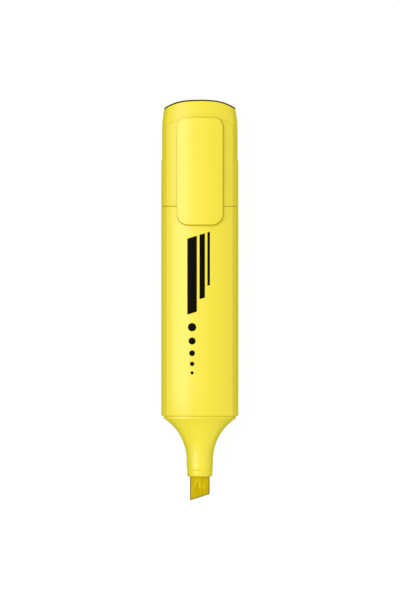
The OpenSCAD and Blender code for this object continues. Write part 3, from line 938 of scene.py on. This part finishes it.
lid_rings = rings_of(on_lid, [(share,) for share in LID_SHARES])
for turn in quarter_turns(2)[1:]:
    drop, inset = LID_EDGE * (1 - math.cos(turn)), LID_EDGE * (1 - math.sin(turn))
    lid_rings.append(cap_ring(CAP_END - drop, crown_draw, dome=1.0, drop=drop, inset=inset))
lid_rings.append(cap_ring(shell_end, crown_draw, dome=1.0))
lid_rings += rings_of(under_lid, [(PLUG_IN,)]) + rings_of(on_oval, [(PLUG_BOTTOM, PLUG_IN)])
sleeve_out = SLEEVE_R + SLEEVE_WALL
lid_rings += rings_of(on_neck, [
    (PLUG_BOTTOM, sleeve_out), (SLEEVE_END + SLEEVE_LEAD, sleeve_out),
    (SLEEVE_END, sleeve_out - SLEEVE_LEAD), (SLEEVE_END, SLEEVE_R + SLEEVE_WALL / 2),
    (SLEEVE_END + SLEEVE_WALL, SLEEVE_R), (PLUG_BOTTOM, SLEEVE_R),
])
lid_bm = bmesh.new()
grow_closed(lid_bm, lid_rings)
seal_shade, seal_shader = clouded("shade_dark_seal_plastic", CLOUD_WAVES, SEAL_SHADE_DARK, SEAL_SHADE_PALE, SEAL_ROUGH)
seal_shader.inputs["Specular IOR Level"].default_value = SEAL_SHINE
make_piece("cap_seal", lid_bm, seal_shade, "cap", "inner_cap")


# Pocket clip: a springy curved blade of the same yellow plastic, with soft edges and edge walls
# painted a deeper tone as shade. A stem under its root ends in a bead that turns in the cap's
# groove, and a low bump under its tip grips the pocket.
CLIP_TOP = 56.8
CLIP_TIP = 23.55
CLIP_HALF = 7.15
CLIP_IN_R = 17.4
CLIP_OUT_R = 18.2
ROOT_CORNER = 2.8
TIP_CORNER = 3.4
END_ROWS = 6
CORNER_STEPS = 10
SIDE_ROWS = 12
CLIP_SOFT = 0.14
SOFT_STEPS = 6
CLIP_UNDER = 0.12
UNDER_STEPS = 2
CLIP_LEAN = 0.2
LEAN_TURN = 0.16
INWARD = (1.0, 0.8, 0.6, 0.4, 0.2, 0.07)


def blade_outline():
    """The blade's outline seen from the front, clockwise from the middle of its root edge."""
    root_x, root_y = CLIP_HALF - ROOT_CORNER, CLIP_TOP - ROOT_CORNER
    tip_x, tip_y = CLIP_HALF - TIP_CORNER, CLIP_TIP + TIP_CORNER
    turns = [(math.sin(t), math.cos(t)) for t in quarter_turns(CORNER_STEPS)]
    right = [(root_x * k / END_ROWS, CLIP_TOP) for k in range(END_ROWS)]
    right += [(root_x + ROOT_CORNER * s, root_y + ROOT_CORNER * c) for s, c in turns]
    right += [(CLIP_HALF, y) for y in even_rows(root_y, tip_y, SIDE_ROWS)[:-1]]
    right += [(tip_x + TIP_CORNER * c, tip_y - TIP_CORNER * s) for s, c in turns]
    right += [(x, CLIP_TIP) for x in even_rows(tip_x, 0.0, END_ROWS)]
    return [Vector(spot) for spot in right + [(-x, y) for x, y in right[-2:0:-1]]]


BLADE = blade_outline()
BLADE_FACING = facings_of(BLADE)


def arc_height(x, r):
    """Height of a curved face that is concentric with the body's front."""
    return AXIS_Z - face_c + math.sqrt(r ** 2 - x ** 2)


def on_blade(i, inset, inward, r, rise, lean=0.0):
    """A point of the blade: set in from its outline, then drawn in to the blade's middle line."""
    way = BLADE_FACING[i]
    spot = BLADE[i] + (lean * (CLIP_LEAN + LEAN_TURN * (way.x - way.y)) - inset) * way
    spine_y = min(max(spot.y, CLIP_TIP + CLIP_HALF), CLIP_TOP - CLIP_HALF)
    spot = spot.lerp(Vector((0, spine_y)), inward)
    return Vector((spot.x, spot.y, arc_height(spot.x, r) + rise)) * MM


blade_stations = [(CLIP_UNDER, inward, CLIP_IN_R, 0.0, 1.0) for inward in INWARD]
for turn in quarter_turns(UNDER_STEPS):
    inset, rise = CLIP_UNDER * (1 - math.sin(turn)), CLIP_UNDER * (1 - math.cos(turn))
    blade_stations.append((inset, 0.0, CLIP_IN_R, rise, 1.0))
for turn in quarter_turns(SOFT_STEPS):
    inset, fall = CLIP_SOFT * (1 - math.cos(turn)), CLIP_SOFT * (1 - math.sin(turn))
    blade_stations.append((inset, 0.0, CLIP_OUT_R, -fall))
blade_stations += [(CLIP_SOFT, inward, CLIP_OUT_R, 0.0) for inward in INWARD[::-1]]
clip_bm = bmesh.new()
grow(clip_bm, rings_of(on_blade, blade_stations, range(len(BLADE))))


def add_block(bm, low, high, edge, cuts=0, bend_r=0.0):
    """Adds a small block with soft edges, bent along with the blade where a radius is given."""
    block = bmesh.new()
    bmesh.ops.create_cube(block, size=1.0)
    if cuts:
        across = [e for e in block.edges if abs(e.verts[0].co.x - e.verts[1].co.x) > 0.5]
        bmesh.ops.subdivide_edges(block, edges=across, cuts=cuts)
    bmesh.ops.scale(block, vec=(Vector(high) - Vector(low)) * MM, verts=block.verts)
    bmesh.ops.translate(block, vec=(Vector(low) + Vector(high)) / 2 * MM, verts=block.verts)
    corners = [e for e in block.edges if e.calc_face_angle() > math.radians(45)]
    bmesh.ops.bevel(block, geom=corners, offset=edge * MM, offset_type="OFFSET", affect="EDGES",
                    segments=2, profile=0.5, material=-1, clamp_overlap=True)
    if bend_r:
        for vert in block.verts:
            vert.co.z -= sag(vert.co.x, bend_r * MM)
    mesh = bpy.data.meshes.new("block")
    block.to_mesh(mesh)
    block.free()
    bm.from_mesh(mesh)
    bpy.data.meshes.remove(mesh)


ROOT_HALF = 2.5
STEM_HALF = 0.3
STEM_TOP = 15.8
STEM_EDGE = 0.05
PIVOT_Y, PIVOT_Z, PIVOT_R = 55.0, 14.47, 0.45
PIVOT_SHORT = 0.12
PIVOT_SIDES = 32
BUMP_LOW = (-3.5, 24.95, 15.2)
BUMP_HIGH = (3.5, 27.35, 15.8)
BUMP_EDGE = 0.2
BUMP_CUTS = 9
BUMP_BEND = 17.2
stem_low = (-ROOT_HALF, PIVOT_Y - STEM_HALF, PIVOT_Z)
stem_high = (ROOT_HALF, PIVOT_Y + STEM_HALF, STEM_TOP)
add_block(clip_bm, stem_low, stem_high, STEM_EDGE)
bead = bmesh.ops.create_cone(clip_bm, cap_ends=True, segments=PIVOT_SIDES, radius1=PIVOT_R * MM,
                             radius2=PIVOT_R * MM, depth=2 * (ROOT_HALF - PIVOT_SHORT) * MM)
for vert in bead["verts"]:
    x, y, z = vert.co
    vert.co = Vector((z, y, x)) + Vector((0, PIVOT_Y, PIVOT_Z)) * MM
add_block(clip_bm, BUMP_LOW, BUMP_HIGH, BUMP_EDGE, BUMP_CUTS, BUMP_BEND)
# Painted shade: the clip's edge walls take the deeper edge colour.
clip_plastic = moulded_yellow("clip_yellow_plastic", side=NEON_EDGE_SHADE)
make_piece("clip_blade", clip_bm, clip_plastic, "clip", "pocket_clip")
